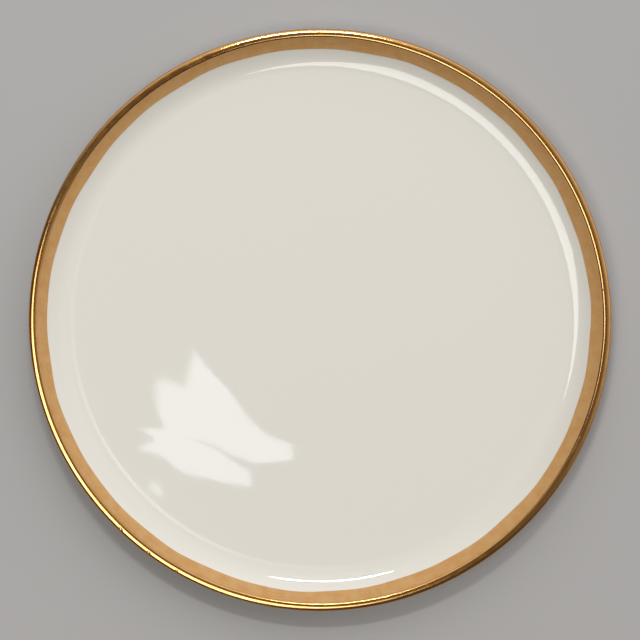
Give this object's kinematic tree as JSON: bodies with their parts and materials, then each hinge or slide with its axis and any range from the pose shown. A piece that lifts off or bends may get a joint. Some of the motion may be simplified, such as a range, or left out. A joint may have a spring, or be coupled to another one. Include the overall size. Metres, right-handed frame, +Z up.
{
  "type": "dinner plate",
  "caption": "Round china dinner plate: flat ivory-glazed well, low curved wall with a satin gold band, rounded lip gilded in polished gold, and a turned foot ring.",
  "frame": {"origin": "centre of the plane that the foot ring stands on", "axes": "+Z up out of the dish, along the axis that the plate is turned about; +X is any radius"},
  "size_m": [0.27, 0.27, 0.0169],
  "materials": {
    "bisque_porcelain": "matt fired clay, bare on the foot ring's bearing edge",
    "ivory_glaze": "clear gloss glaze over ivory porcelain, slightly pooled in the well's fillet",
    "satin_gold": "fired gold burnished to a soft satin, faintly streaked round the wall",
    "polished_gold": "fired gold burnished bright over the lip, with light wear"
  },
  "bodies": {
    "root": {"porcelain_body": "bisque_porcelain", "glaze_coat": "ivory_glaze", "recess_glaze": "ivory_glaze", "gold_band": "satin_gold", "gold_lip": "polished_gold"}
  },
  "joints": []
}
